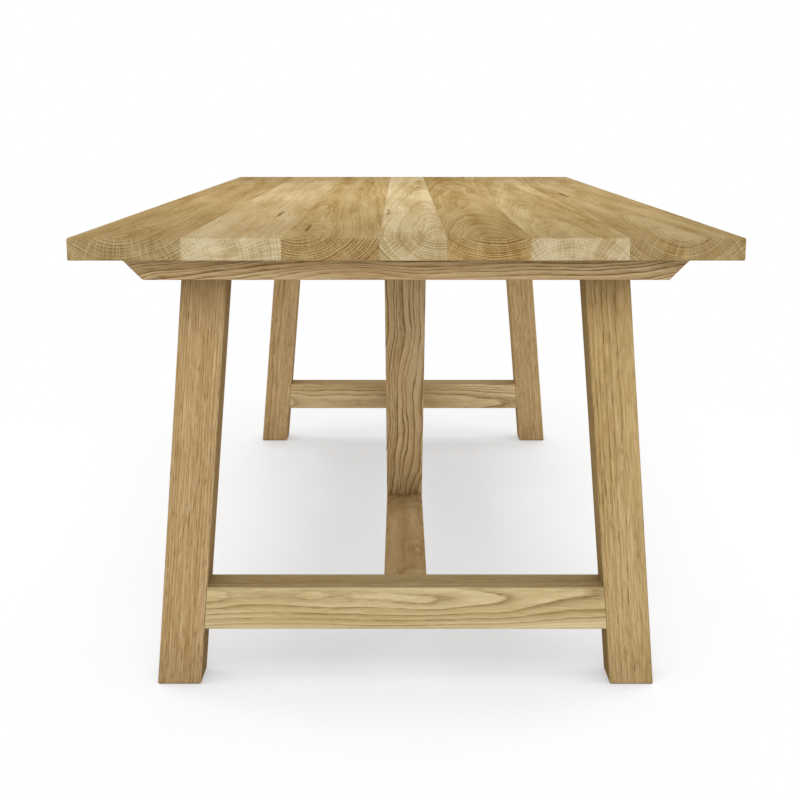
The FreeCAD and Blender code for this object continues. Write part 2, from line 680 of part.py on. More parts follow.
def stud_section(sketch):
    draw_circle(sketch, MIDDLE, "Sizes.stud_diameter")


def nut_section(sketch):
    draw_hexagon(sketch, "Sizes.nut_width")
    draw_circle(sketch, MIDDLE, "Sizes.stud_bore")


def make_half_moon():
    """A washer with a round back for the recess's wall and a flat face for the nut."""
    half_moon = doc.addObject("PartDesign::Body", "half_moon")
    radius = "(Sizes.recess_diameter / 2 - Sizes.thread_gap)"
    chord = "-Sizes.chord_offset"
    half_chord = number(f"sqrt({radius} ^ 2 - Sizes.chord_offset ^ 2)")
    left = FreeCAD.Vector(-half_chord, number(chord), 0)
    right = FreeCAD.Vector(half_chord, number(chord), 0)
    plan = new_sketch(half_moon, "plan", "XY_Plane")
    plan.addGeometry(Part.Arc(left, FreeCAD.Vector(0, -number(radius), 0), right))
    plan.addGeometry(Part.LineSegment(right, left))
    plan.addConstraint(Sketcher.Constraint("Coincident", 0, 2, 1, 1))
    plan.addConstraint(Sketcher.Constraint("Coincident", 1, 2, 0, 1))
    plan.addConstraint(Sketcher.Constraint("Coincident", 0, 3, -1, 1))
    dimension(plan, "Radius", (0,), radius)
    dimension(plan, "DistanceY", (-1, 1, 1, 1), chord)
    dimension(plan, "DistanceY", (-1, 1, 1, 2), chord)
    pad(half_moon, "blank", plan, "Sizes.half_moon_height", "Symmetric")
    hole = new_sketch(half_moon, "hole_section", "XZ_Plane")
    draw_circle(hole, MIDDLE, "Sizes.stud_clearance")
    pocket(half_moon, "hole", hole, "Sizes.recess_diameter", "Symmetric")
    return half_moon


def make_fixings():
    """Place the screws, inserts, studs, nuts and half-moon washers."""
    copies("top_screws", make_screw("top_screw", "Sizes.top_screw_length"),
           [(x, y, "Sizes.under_bearer", UPRIGHT) for x, y in TOP_SCREWS])
    copies("brace_screws", make_screw("brace_screw", "Sizes.head_screw_length"),
           [(x, "-Sizes.head_screw_seat", z, OUTWARDS) for x, z in HEAD_SCREWS])

    x, z = STUD_SPOT
    copies("stretcher_inserts", make_bar("insert", insert_section, "Sizes.insert_length"),
           [(x, "-Sizes.rail_mortise_floor", z, OUTWARDS)])
    copies("stretcher_studs", make_bar("stud", stud_section, "Sizes.stud_length"),
           [(x, "-Sizes.stud_end", z, INWARDS)])
    copies("half_moon_washers", make_half_moon(), [(x, "-Sizes.recess_reach", z, UPRIGHT)])
    copies("stretcher_nuts", make_bar("nut", nut_section, "Sizes.nut_height"),
           [(x, "-Sizes.nut_seat", z, INWARDS)])


# ---------------------------------------------------------------------------------------------
# Assembly
# ---------------------------------------------------------------------------------------------
def make_table():
    for index in BOARDS:
        make_top_board(index)
    for end in ENDS:
        make_bearer_stave(end, "outer", OUTER_STAVE)
        make_bearer_stave(end, "middle", MIDDLE_STAVE)
        make_bearer_stave(end, "inner", INNER_STAVE)
        for side in SIDES:
            make_leg(end, side)
        make_lower_rail(end)
        make_brace(end)
    make_stretcher()
    make_wedges()
    make_fixings()


def check_table():
    """Stop if anything in the document failed, or if a node is not a sound solid."""
    doc.recompute()
    for thing in doc.Objects:
        if {"Invalid", "Error"} & set(thing.State):
            raise RuntimeError(f"{thing.Label} did not compute")
        if thing.TypeId == "Sketcher::SketchObject" and not thing.FullyConstrained:
            raise RuntimeError(f"{thing.Label} is not fully constrained")
    for node in nodes:
        if node.Shape.isNull() or not node.Shape.isValid() or not node.Shape.Solids:
            raise RuntimeError(f"{node.Label} is not a sound solid")


def write_nodes():
    os.makedirs("parts", exist_ok=True)
    for node in nodes:
        node.Shape.exportStep(f"parts/{node.Label}.step")
        print(node.Label, len(node.Shape.Solids), "solids", round(node.Shape.Volume), "mm3")


make_table()
check_table()
write_nodes()
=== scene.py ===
from math import pi, radians

import bmesh
import bpy
from mathutils import Euler, Matrix, Vector


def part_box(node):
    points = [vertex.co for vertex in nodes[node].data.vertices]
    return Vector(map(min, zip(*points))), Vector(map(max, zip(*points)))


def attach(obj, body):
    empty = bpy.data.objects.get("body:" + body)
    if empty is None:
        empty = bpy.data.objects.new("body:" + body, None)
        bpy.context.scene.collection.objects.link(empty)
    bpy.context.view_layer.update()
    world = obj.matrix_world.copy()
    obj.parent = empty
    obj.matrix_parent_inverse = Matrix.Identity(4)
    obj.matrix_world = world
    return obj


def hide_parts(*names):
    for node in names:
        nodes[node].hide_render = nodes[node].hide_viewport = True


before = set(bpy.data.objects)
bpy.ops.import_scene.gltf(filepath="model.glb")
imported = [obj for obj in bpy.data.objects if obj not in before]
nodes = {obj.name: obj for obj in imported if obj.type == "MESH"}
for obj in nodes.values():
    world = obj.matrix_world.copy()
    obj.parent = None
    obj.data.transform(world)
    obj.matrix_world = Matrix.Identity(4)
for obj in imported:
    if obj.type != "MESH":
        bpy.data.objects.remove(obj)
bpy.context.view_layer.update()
scene = bpy.context.scene
scene.view_settings.view_transform = "Standard"


# --- Camera --------------------------------------------------------------------------------------
# It stands 2 m off the table's near end, a little above the tabletop, and looks along the stretcher
# and slightly down, so that the legs' outer edges keep their true splay.

camera_place = (-0.00833, -3.09419, 0.90275)
camera_dip = 0.1958
camera_roll = 0.00024
lens_length = 63.43
sensor_width = 36.0

camera_data = bpy.data.cameras.new("camera")
camera_data.lens = lens_length
camera_data.sensor_width = sensor_width
camera = bpy.data.objects.new("camera", camera_data)
camera.location = camera_place
camera.rotation_euler = (pi / 2 - camera_dip, 0.0, camera_roll)
scene.collection.objects.link(camera)
scene.camera = camera


# --- Studio: light and floor ---------------------------------------------------------------------
# A white room, brightest along its end walls and dimmest overhead, with round soft boxes before
# and behind, at both sides and over the table, on a matt floor that looks white in the open.

def add_node(tree, kind, *sources, **settings):
    """Adds a node and feeds its inputs in order with numbers, colours or other nodes' outputs."""
    node = tree.nodes.new("ShaderNode" + kind)
    for name, value in settings.items():
        setattr(node, name, value)
    for socket, source in zip(node.inputs, sources):
        if isinstance(source, bpy.types.NodeSocket):
            tree.links.new(source, socket)
        elif source is not None:
            socket.default_value = source
    return node


def maths(tree, operation, *sources, clamp=False):
    return add_node(tree, "Math", *sources, operation=operation, use_clamp=clamp).outputs[0]


def length_of(tree, vector):
    return add_node(tree, "VectorMath", vector, operation="LENGTH").outputs["Value"]


def blend(tree, amount, first, second, mode="MIX"):
    """Mixes two colours, or the outputs of two nodes that give colours."""
    node = add_node(tree, "Mix", data_type="RGBA", blend_type=mode, clamp_factor=False)
    for socket, source in ((node.inputs[0], amount), (node.inputs[6], first), (node.inputs[7], second)):
        if isinstance(source, bpy.types.NodeSocket):
            tree.links.new(source, socket)
        else:
            socket.default_value = source
    return node.outputs[2]


def band(tree, value, low, high, to_low=0.0, to_high=1.0):
    """Rises or falls smoothly from one level to another between two values."""
    made = add_node(tree, "MapRange", value, low, high, to_low, to_high)
    made.interpolation_type = "SMOOTHSTEP"
    return made.outputs[0]


def seen_directly(tree):
    """1 for what the camera sees, also in a gloss or through glass, and 0 for what lights things."""
    path = add_node(tree, "LightPath").outputs
    gloss = maths(tree, "MAXIMUM", path["Is Glossy Ray"], path["Is Transmission Ray"])
    return maths(tree, "MAXIMUM", path["Is Camera Ray"], gloss)


white = (1.0, 1.0, 1.0, 1.0)
overhead_strength = 0.34
end_wall_strength = 1.0
side_wall_strength = 0.55
wall_falloff = 3.0

world = bpy.data.worlds.new("studio")
world.use_nodes = True
scene.world = world
sky = world.node_tree
sky.nodes.clear()
direction = add_node(sky, "TexCoord").outputs["Generated"]
across, _, height = add_node(sky, "SeparateXYZ", direction).outputs
near_wall = maths(sky, "POWER", maths(sky, "SUBTRACT", 1.0, height, clamp=True), wall_falloff)
wall_strength = band(sky, maths(sky, "ABSOLUTE", across), 0.0, 1.0, end_wall_strength,
                     side_wall_strength)
room_light = maths(sky, "MULTIPLY_ADD", near_wall, wall_strength, overhead_strength)
lighting = add_node(sky, "Background", white, room_light)
backdrop = add_node(sky, "Background", white, 1.0)
room = add_node(sky, "MixShader", seen_directly(sky), lighting.outputs[0], backdrop.outputs[0])
add_node(sky, "OutputWorld", room.outputs[0])

soft_boxes = {
    # name: place, what it is aimed at, width in metres, brightness
    "low front": ((0.0, -12.0, 2.2), (0.0, 0.0, 0.4), 7.5, 3.8),
    "high front": ((0.0, -9.0, 6.0), (0.0, 0.0, 0.4), 5.0, 2.7),
    "low back": ((0.0, 12.0, 2.6), (0.0, 0.0, 0.4), 7.5, 2.0),
    "left": ((-3.4, 0.0, 1.0), (0.0, 0.0, 0.5), 2.4, 0.3),
    "right": ((3.4, 0.0, 1.0), (0.0, 0.0, 0.5), 2.4, 0.6),
    "over": ((0.0, 0.15, 1.75), (0.0, 0.15, 0.0), 1.4, 1.1),
}
for name, (place, target, width, brightness) in soft_boxes.items():
    lamp = bpy.data.lights.new(name + " soft box", "AREA")
    lamp.shape = "DISK"
    lamp.size = width
    lamp.energy = brightness * pi * pi * (width / 2) ** 2
    soft_box = bpy.data.objects.new(name + " soft box", lamp)
    soft_box.location = place
    away = Vector(place) - Vector(target)
    soft_box.rotation_euler = away.to_track_quat("Z", "Y").to_euler()
    soft_box.visible_camera = False
    scene.collection.objects.link(soft_box)

floor_half = 30.0
floor_albedo = (0.8, 0.8, 0.8, 1.0)
# The floor shows its light a little blue under the table, to take off the glow of the oak above.
# Over half of what it shows is a soft grey shade that depends only on how open a place is. Further
# off than the light reaches, it runs into the plain white of the backdrop.
shaded_floor = (1.20, 1.36, 1.60, 1.0)
open_floor = (1.22, 1.22, 1.22, 1.0)
grey_share = 0.6
shade_reach = 1.0
sheltered, wide_open = 0.38, 0.62
deepest_grey, palest_grey = 0.73, 1.17
backdrop_from, backdrop_to = 1.05, 2.0

floor_shape = bmesh.new()
bmesh.ops.create_grid(floor_shape, x_segments=1, y_segments=1, size=floor_half)
floor_mesh = bpy.data.meshes.new("floor")
floor_shape.to_mesh(floor_mesh)
floor_shape.free()
floor = bpy.data.objects.new("floor", floor_mesh)
scene.collection.objects.link(floor)
paint = bpy.data.materials.new("matt white floor")
paint.use_nodes = True
tree = paint.node_tree
tree.nodes.clear()
matt = add_node(tree, "BsdfDiffuse", floor_albedo)
openness = add_node(tree, "AmbientOcclusion", white, shade_reach, samples=8).outputs["AO"]
lit = add_node(tree, "BsdfDiffuse", blend(tree, openness, shaded_floor, open_floor))
grey = add_node(tree, "MapRange", openness, sheltered, wide_open, deepest_grey, palest_grey)
shade = add_node(tree, "Emission", white, grey.outputs[0])
shown = add_node(tree, "MixShader", grey_share, lit.outputs[0], shade.outputs[0])
from_table = length_of(tree, add_node(tree, "TexCoord").outputs["Object"])
far_off = band(tree, from_table, backdrop_from, backdrop_to)
plain = add_node(tree, "Emission", white, 1.0)
shown = add_node(tree, "MixShader", far_off, shown.outputs[0], plain.outputs[0])
surface = add_node(tree, "MixShader", seen_directly(tree), matt.outputs[0], shown.outputs[0])
add_node(tree, "OutputMaterial", surface.outputs[0])
floor_mesh.materials.append(paint)


# --- Legs ----------------------------------------------------------------------------------------
# Four square legs of solid oak, sawn on the rift so that their grain runs fine and straight. Each
# stands splayed in its trestle, its head a tenon through the bearer and its foot cut level.

def srgb(red, green, blue):
    """A colour as a chart shows it, 0 to 255, in the linear values that the shaders take."""
    linear = [((c / 255 + 0.055) / 1.055) ** 2.4 for c in (red, green, blue)]
    return (*linear, 1.0)


# The first four colours are shares of the timber's own tone.
pale_wood = (1.10, 1.12, 1.18, 1.0)
golden_wood = (0.85, 0.79, 0.69, 1.0)
dark_wood = (0.40, 0.32, 0.22, 1.0)
sapwood_tint = (1.30, 1.36, 1.55, 1.0)
# A painted shade: the share of the tone kept where other parts lie this close, in metres.
painted_shade_tint = (0.58, 0.55, 0.52, 1.0)
painted_shade_reach = 0.12


def build_oak():
    """The node group of solid oak: growth rings about the pith on z, pores, fibres and rays."""
    tree = bpy.data.node_groups.new("solid oak", "ShaderNodeTree")
    sockets = (
        ("Place", "NodeSocketVector", None), ("End Grain", "NodeSocketFloat", 0.0),
        ("Seed", "NodeSocketFloat", 0.0), ("Ring Width", "NodeSocketFloat", 0.003),
        ("Taper", "NodeSocketFloat", 0.0), ("Sway", "NodeSocketFloat", 0.010),
        ("Figure", "NodeSocketFloat", 0.7), ("Pores", "NodeSocketFloat", 0.5),
        ("Fibres", "NodeSocketFloat", 0.8), ("Bands", "NodeSocketFloat", 0.5),
        ("Mottle", "NodeSocketFloat", 2.0), ("End Figure", "NodeSocketFloat", 0.5),
        ("Sapwood", "NodeSocketFloat", 1.0),
        ("Knot Place", "NodeSocketVector", None), ("Knot Size", "NodeSocketFloat", 0.0001),
        ("Tone", "NodeSocketColor", white), ("End Tone", "NodeSocketColor", white),
    )
    for name, kind, value in sockets:
        socket = tree.interface.new_socket(name, in_out="INPUT", socket_type=kind)
        if value is not None:
            socket.default_value = value
    for name, kind in (("Color", "NodeSocketColor"), ("Roughness", "NodeSocketFloat"),
                       ("Normal", "NodeSocketVector")):
        tree.interface.new_socket(name, in_out="OUTPUT", socket_type=kind)
    given = tree.nodes.new("NodeGroupInput").outputs

    def num(operation, *sources):
        return maths(tree, operation, *sources)

    def vec(operation, *sources):
        return add_node(tree, "VectorMath", *sources, operation=operation).outputs[0]

    def scaled(vector, factor):
        node = add_node(tree, "VectorMath", vector, operation="SCALE")
        if isinstance(factor, float):
            node.inputs["Scale"].default_value = factor
        else:
            tree.links.new(factor, node.inputs["Scale"])
        return node.outputs[0]

    def noise(place, across, along, detail=2.0, rough=0.5, output=0):
        """Noise with so many waves per metre across and along the grain."""
        drawn_out = vec("MULTIPLY", place, (across, across, along))
        return add_node(tree, "TexNoise", drawn_out, None, 1.0, detail, rough).outputs[output]

    place = given["Place"]
    shift = scaled((3.1, 5.3, 7.7), given["Seed"])
    local = vec("ADD", place, shift)

    def wander(across, along, amount):
        """A shift of the rings sideways, with so many waves per metre across and along the grain."""
        wave = noise(local, across, along, output=1)
        sideways = vec("MULTIPLY", vec("SUBTRACT", wave, (0.5, 0.5, 0.5)), (1.0, 1.0, 0.0))
        return scaled(sideways, amount)

    # The trunk's slow bends, waves in its grain and a fine ripple push the rings sideways.
    bends_to_waves = 3.0
    ripple_depth = 0.0007
    bends = num("MULTIPLY", given["Sway"], bends_to_waves)
    bent = vec("ADD", place, wander(across=2.4, along=1.0, amount=bends))
    bent = vec("ADD", bent, wander(across=14.0, along=4.5, amount=given["Sway"]))
    bent = vec("ADD", bent, wander(across=90.0, along=26.0, amount=ripple_depth))
    x, y, z = add_node(tree, "SeparateXYZ", bent).outputs
    radius = num("SQRT", num("ADD", num("MULTIPLY", x, x), num("MULTIPLY", y, y)))

    # A knot pushes the rings aside, and is dark in its middle, where it is thin and long.
    knot_size = given["Knot Size"]
    raggedness = 0.25
    bulge_shape = (1.0, 1.0, 0.3)
    core_shape = (2.8, 2.8, 0.45)
    core_rim, core_middle = 0.60, 0.40
    ragged = wander(across=120.0, along=30.0, amount=num("MULTIPLY", knot_size, raggedness))
    from_knot = vec("SUBTRACT", vec("ADD", place, ragged), given["Knot Place"])
    from_knot = vec("MULTIPLY", from_knot, bulge_shape)
    near_knot = num("DIVIDE", length_of(tree, from_knot), knot_size)
    bulge = num("EXPONENT", num("MULTIPLY", num("MULTIPLY", near_knot, near_knot), -0.5))
    from_core = length_of(tree, vec("MULTIPLY", from_knot, core_shape))
    knot = band(tree, num("DIVIDE", from_core, knot_size), core_rim, core_middle)
    radius = num("ADD", radius, num("MULTIPLY", bulge, knot_size))
    radius = num("MULTIPLY_ADD", z, given["Taper"], radius)

    # Growth rings: a dark porous line in spring that fades out over the year's growth. Runs of
    # good and bad years make the rings uneven.
    runs_per_metre, run_of_years = 90.0, 3.0
    spring_onset, spring_decay = 0.10, 3.5
    run_place = add_node(tree, "CombineXYZ", num("MULTIPLY", radius, runs_per_metre), given["Seed"],
                         0.0).outputs[0]
    growth = add_node(tree, "TexNoise", run_place, None, 1.0, 1.0).outputs[0]
    years = num("MULTIPLY_ADD", growth, run_of_years, num("DIVIDE", radius, given["Ring Width"]))
    season = num("FRACT", years)
    year = add_node(tree, "TexWhiteNoise", None, num("ADD", num("FLOOR", years), given["Seed"]),
                    noise_dimensions="1D").outputs[0]
    spring = num("MULTIPLY", num("POWER", num("SUBTRACT", 1.0, season), spring_decay),
                 band(tree, season, 0.0, spring_onset))
    fading = band(tree, noise(local, 30.0, 6.0), 0.34, 0.60, 0.40, 1.25)
    porous = band(tree, noise(local, 420.0, 60.0, 0.0), 0.34, 0.62, 0.75, 1.20)
    line = num("MULTIPLY", num("MULTIPLY", spring, num("MULTIPLY_ADD", year, 0.5, 0.8)),
               num("MULTIPLY", fading, porous))

    # Pores drawn out along the grain, fine fibres, and slow changes of tone.
    first_pores, all_pores = 0.50, 0.78
    summer_pores = 0.6
    pore_field = noise(local, 560.0, 50.0, detail=1.0)
    pores = num("MULTIPLY", band(tree, pore_field, first_pores, all_pores),
                num("ADD", spring, summer_pores))
    fibres = noise(local, 480.0, 20.0, detail=1.0, rough=0.7)
    mottle = noise(local, 26.0, 2.2, detail=3.0, rough=0.55)

    # Rays: thin sheets from the pith outwards, pale flakes where the surface runs along them.
    # Some of them open into fine dark checks at the timber's end.
    rays_round, rays_outwards, rays_along = 60.0, 26.0, 30.0
    across_grain = given["End Grain"]
    angle = num("ARCTAN2", y, x)
    ray_place = add_node(tree, "CombineXYZ", num("MULTIPLY", angle, rays_round),
                         num("MULTIPLY", radius, rays_outwards),
                         num("MULTIPLY", z, rays_along)).outputs[0]
    ray_field = add_node(tree, "TexNoise", vec("ADD", ray_place, shift), None, 1.0, 1.0).outputs[0]
    rays = band(tree, ray_field, 0.48, 0.64)
    checks = num("MULTIPLY", band(tree, ray_field, 0.30, 0.20), across_grain)

    # Summer wood runs from pale to golden: in slow clouds, from year to year, within each year,
    # and in fine fibres. Rays are pale in it.
    side_flecks, more_end_flecks = 0.3, 0.6
    least_gold, most_gold = -0.4, 1.5
    golden = num("MULTIPLY_ADD", num("SUBTRACT", mottle, 0.5), given["Mottle"], 0.5)
    golden = num("MULTIPLY_ADD", num("SUBTRACT", fibres, 0.42), given["Fibres"], golden)
    by_season = num("MULTIPLY_ADD", season, -0.5, 0.2)
    by_year = num("ADD", num("MULTIPLY_ADD", year, 0.7, -0.35), by_season)
    golden = num("MULTIPLY_ADD", by_year, given["Bands"], golden)
    flecks = num("MULTIPLY_ADD", across_grain, more_end_flecks, side_flecks)
    golden = num("SUBTRACT", golden, num("MULTIPLY", rays, flecks))
    golden = num("MAXIMUM", num("MINIMUM", golden, most_gold), least_gold)
    wood = blend(tree, golden, pale_wood, golden_wood)

    # Dark brown on it: the spring lines, the pores, knots and checks.
    knot_darkness, check_darkness = 0.8, 0.4
    figure = num("MULTIPLY_ADD", across_grain, given["End Figure"], given["Figure"])
    pore_share = num("MULTIPLY_ADD", across_grain, given["End Figure"], given["Pores"])
    dark = num("MULTIPLY_ADD", pores, pore_share, num("MULTIPLY", line, figure))
    dark = num("MULTIPLY_ADD", knot, knot_darkness, dark)
    dark = num("MULTIPLY_ADD", checks, check_darkness, dark)
    wood = blend(tree, num("MINIMUM", dark, 1.0), wood, dark_wood)

    # Sapwood is paler still. Where other parts lie close, the wood gets a painted shade.
    sapwood_share = 0.5
    sapwood = band(tree, num("SUBTRACT", radius, given["Sapwood"]), -0.002, 0.004)
    wood = blend(tree, sapwood, wood, blend(tree, sapwood_share, wood, sapwood_tint))
    wood = blend(tree, 1.0, wood, given["Tone"], "MULTIPLY")
    wood = blend(tree, across_grain, wood, blend(tree, 1.0, wood, given["End Tone"], "MULTIPLY"))
    painted_shade = add_node(tree, "AmbientOcclusion", white, painted_shade_reach, samples=6).outputs["AO"]
    wood = blend(tree, painted_shade, blend(tree, 1.0, wood, painted_shade_tint, "MULTIPLY"), wood)

    # Pores are sunk and fibres stand up a little. The soft spring wood is the roughest.
    relief_strength, relief_depth = 0.4, 0.0004
    fibre_relief = 0.4
    smoothest, rough_fibres, rough_spring = 0.60, 0.16, 0.10
    relief = num("MULTIPLY_ADD", pore_field, -1.0, num("MULTIPLY", fibres, fibre_relief))
    bump = add_node(tree, "Bump", relief_strength, relief_depth)
    tree.links.new(relief, bump.inputs["Height"])
    roughness = num("MULTIPLY_ADD", fibres, rough_fibres, smoothest)
    roughness = num("MULTIPLY_ADD", spring, rough_spring, roughness)

    result = tree.nodes.new("NodeGroupOutput")
    tree.links.new(wood, result.inputs["Color"])
    tree.links.new(roughness, result.inputs["Roughness"])
    tree.links.new(bump.outputs[0], result.inputs["Normal"])
    return tree


oak_group = build_oak()
oak_specular = 0.0


def saw_from_log(node, turn, pith, seed, tone, knot=None, **figure):
    """Gives a timber its oak: turn lays the log's axis along its grain, and pith is how far the
    log's middle lies from the timber's, in metres along the log's own two cross directions."""
    piece = nodes[node]
    low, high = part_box(node)
    grain = Euler(turn).to_matrix()
    middle = (low + high) / 2 + grain @ Vector((*pith, 0.0))
    oak = bpy.data.materials.new("oak " + node.replace("_", " "))
    oak.use_nodes = True
    tree = oak.node_tree
    shader = tree.nodes["Principled BSDF"]
    shader.inputs["Specular IOR Level"].default_value = oak_specular
    texture = add_node(tree, "TexCoord").outputs
    in_log = add_node(tree, "Mapping", texture["Object"], middle, turn, vector_type="TEXTURE")
    facing = add_node(tree, "VectorMath", texture["Normal"], grain @ Vector((0.0, 0.0, 1.0)),
                      operation="DOT_PRODUCT").outputs["Value"]
    group = tree.nodes.new("ShaderNodeGroup")
    group.node_tree = oak_group
    tree.links.new(in_log.outputs[0], group.inputs["Place"])
    tree.links.new(maths(tree, "ABSOLUTE", facing), group.inputs["End Grain"])
    group.inputs["Seed"].default_value = seed
    group.inputs["Tone"].default_value = srgb(*tone)
    if knot is not None:
        knot_place, knot_size = knot
        group.inputs["Knot Place"].default_value = grain.inverted() @ (Vector(knot_place) - middle)
        group.inputs["Knot Size"].default_value = knot_size
    for name, value in figure.items():
        group.inputs[name.replace("_", " ").title()].default_value = value
    for output, socket in (("Color", "Base Color"), ("Roughness", "Roughness"),
                           ("Normal", "Normal")):
        tree.links.new(group.outputs[output], shader.inputs[socket])
    piece.data.materials.clear()
    piece.data.materials.append(oak)


splay = radians(5.0)
legs = (
    # end, side, pith, seed, tone, a small dark slit and its size
    ("front", "left", (0.13, 0.12), 1.0, (191, 163, 119), ((-0.345, -0.928, 0.278), 0.004)),
    ("front", "right", (0.022, 0.075), 2.0, (191, 165, 117), None),
    # The rear legs' tones are lighter than the front ones: painted light that makes up for the shade
    # under the table.
    ("rear", "left", (0.02, 0.10), 3.0, (218, 187, 139), None),
    ("rear", "right", (0.12, -0.12), 4.0, (222, 193, 144), None),
)
for end, side, pith, seed, tone, slit in legs:
    lean = splay if side == "left" else -splay
    saw_from_log(f"leg_{end}_{side}", (0.0, lean, 0.0), pith, seed, tone, slit,
                 ring_width=0.0026, sway=0.003, figure=0.50, pores=0.70, fibres=2.4, bands=0.6,
                 mottle=1.4)


# --- Lower rails ---------------------------------------------------------------------------------
# One square oak rail low down in each trestle. It is tenoned between the two legs, glued, and
# planed flush with their faces.

lengthwise = (0.0, pi / 2, 0.0)
rails = (
    # end, pith, seed, tone, how far from the pith the sapwood starts
    ("front", (-0.022, 0.07), 5.0, (201, 181, 135), 0.1150),
    # The rear rail's tone is lighter than the front one's: painted light that makes up for the shade
    # under the table.
    ("rear", (0.02, 0.08), 6.0, (232, 208, 159), 1.0),
)
for end, pith, seed, tone, sapwood in rails:
    saw_from_log("lower_rail_" + end, lengthwise, pith, seed, tone, ring_width=0.0026, sway=0.006,
                 figure=0.70, pores=0.35, fibres=1.2, bands=0.9, taper=0.008, sapwood=sapwood)


# --- Bearers -------------------------------------------------------------------------------------
# A wide bearer lies across each trestle under the top, glued up from three oak staves, with bevels
# under both ends. The legs' tenons come up through its middle stave.

bearer_tone = (202, 177, 135)
for end, seed in (("front", 7.0), ("rear", 8.0)):
    for stave, pith in (("outer", (0.10, 0.03)), ("middle", (0.08, 0.09)), ("inner", (-0.05, 0.07))):
        saw_from_log(f"bearer_{end}_{stave}_stave", lengthwise, pith, seed, bearer_tone,
                     ring_width=0.0050, sway=0.030, figure=1.7, pores=0.5, taper=-0.09)


# --- Tenon wedges --------------------------------------------------------------------------------
# Two thin oak wedges for each leg. They are driven from above into the saw cuts of its tenon, which
# spread in the bearer's mortise and lock there.

standing = (0.0, 0.0, 0.0)
saw_from_log("tenon_wedges", standing, pith=(0.2, 0.1), seed=9.0, tone=(178, 150, 106))


# --- Stretcher -----------------------------------------------------------------------------------
# One square oak stretcher ties the trestles together, flush with the tops of their lower rails.
# A stub tenon at each end sits in a rail.

endwise = (-pi / 2, 0.0, 0.0)
saw_from_log("stretcher", endwise, pith=(0.01, 0.09), seed=10.0, tone=(208, 182, 138),
             ring_width=0.005, sway=0.020, figure=0.30, pores=0.25, fibres=0.8, bands=0.5, mottle=4.5,
             taper=0.03)


# --- Braces --------------------------------------------------------------------------------------
# A diagonal oak brace for each trestle. Its foot is tenoned into the stretcher, and its head fits
# under the top and against the bearer's inner edge, where two screws hold it.

brace_lean = radians(36.7)
brace_tone = (201, 175, 132)
for end, lean, seed in (("front", brace_lean, 11.0), ("rear", -brace_lean, 12.0)):
    saw_from_log("brace_" + end, (lean, 0.0, 0.0), (0.13, 0.06), seed, brace_tone,
                 ring_width=0.0080, sway=0.034, figure=1.6, pores=0.35, fibres=1.2, taper=0.03)


# --- Top boards ----------------------------------------------------------------------------------
# Seven oak boards of unequal width, each from another log, run the table's length. They are glued
# edge to edge and sanded flush.

boards = (
    # pith, tone, the end grain's share of it and figure, taper of the log, bands,
    # how far from the pith the sapwood starts, a knot and its size
    ((0.00, -0.10), (202, 172, 119), (0.67, 0.71, 0.74), 0.60, 0.010, 0.8, 1.0, None),
    ((-0.093, 0.021), (221, 195, 145), (0.78, 0.84, 0.94), 0.40, 0.015, 0.5, 1.0,
     ((-0.221, -0.578, 0.74), 0.020)),
    ((-0.043, -0.085), (203, 174, 119), (0.67, 0.65, 0.62), 1.20, 0.020, 1.1, 1.0,
     ((-0.150, -0.910, 0.74), 0.018)),
    ((0.03, -0.06), (223, 199, 150), (0.67, 0.68, 0.68), 0.45, 0.030, 1.1, 0.084,
     ((-0.030, -0.523, 0.74), 0.020)),
    ((0.01, -0.11), (196, 166, 112), (0.76, 0.75, 0.72), 1.10, 0.030, 1.2, 1.0, None),
    ((-0.002, 0.075), (210, 183, 130), (0.82, 0.89, 1.09), 0.30, 0.020, 0.7, 1.0, None),
    ((0.00, -0.08), (204, 177, 125), (0.65, 0.64, 0.61), 0.70, 0.020, 1.0, 1.0,
     ((0.354, 0.071, 0.74), 0.025)),
)
first_board_seed = 21.0
for number, board in enumerate(boards):
    pith, tone, end_tone, end_figure, taper, bands, sapwood, knot = board
    saw_from_log(f"top_board_{number + 1}", endwise, pith, first_board_seed + number, tone, knot,
                 ring_width=0.0034, taper=taper, sway=0.012, figure=0.20, pores=0.08, fibres=0.8,
                 bands=bands, mottle=3.8, sapwood=sapwood, end_figure=end_figure,
                 end_tone=(*end_tone, 1.0))


# --- Wood screws ---------------------------------------------------------------------------------
# Zinc-plated screws with wide washer heads and hexagon sockets. Eight are driven up through slots in
# the bearers into the top, and four go outwards from the braces' heads into the bearers.

blue_zinc = (0.56, 0.57, 0.60, 1.0)
warm_zinc = (0.68, 0.68, 0.66, 1.0)
patches_per_metre = 300.0
crystals_per_metre = 2500.0
crystal_depth = 0.0001
dulling = 0.15
least_roughness, more_roughness = 0.22, 0.2

zinc = bpy.data.materials.new("zinc plated steel")
zinc.use_nodes = True
tree = zinc.node_tree
shader = tree.nodes["Principled BSDF"]
shader.inputs["Metallic"].default_value = 1.0
place = add_node(tree, "TexCoord").outputs["Object"]
patches = add_node(tree, "TexNoise", place, None, patches_per_metre, 3.0).outputs[0]
tree.links.new(blend(tree, patches, blue_zinc, warm_zinc), shader.inputs["Base Color"])
roughness = maths(tree, "MULTIPLY_ADD", patches, more_roughness, least_roughness)
tree.links.new(roughness, shader.inputs["Roughness"])
crystals = add_node(tree, "TexNoise", place, None, crystals_per_metre, 1.0).outputs[0]
dull = add_node(tree, "Bump", dulling, crystal_depth)
tree.links.new(crystals, dull.inputs["Height"])
tree.links.new(dull.outputs[0], shader.inputs["Normal"])

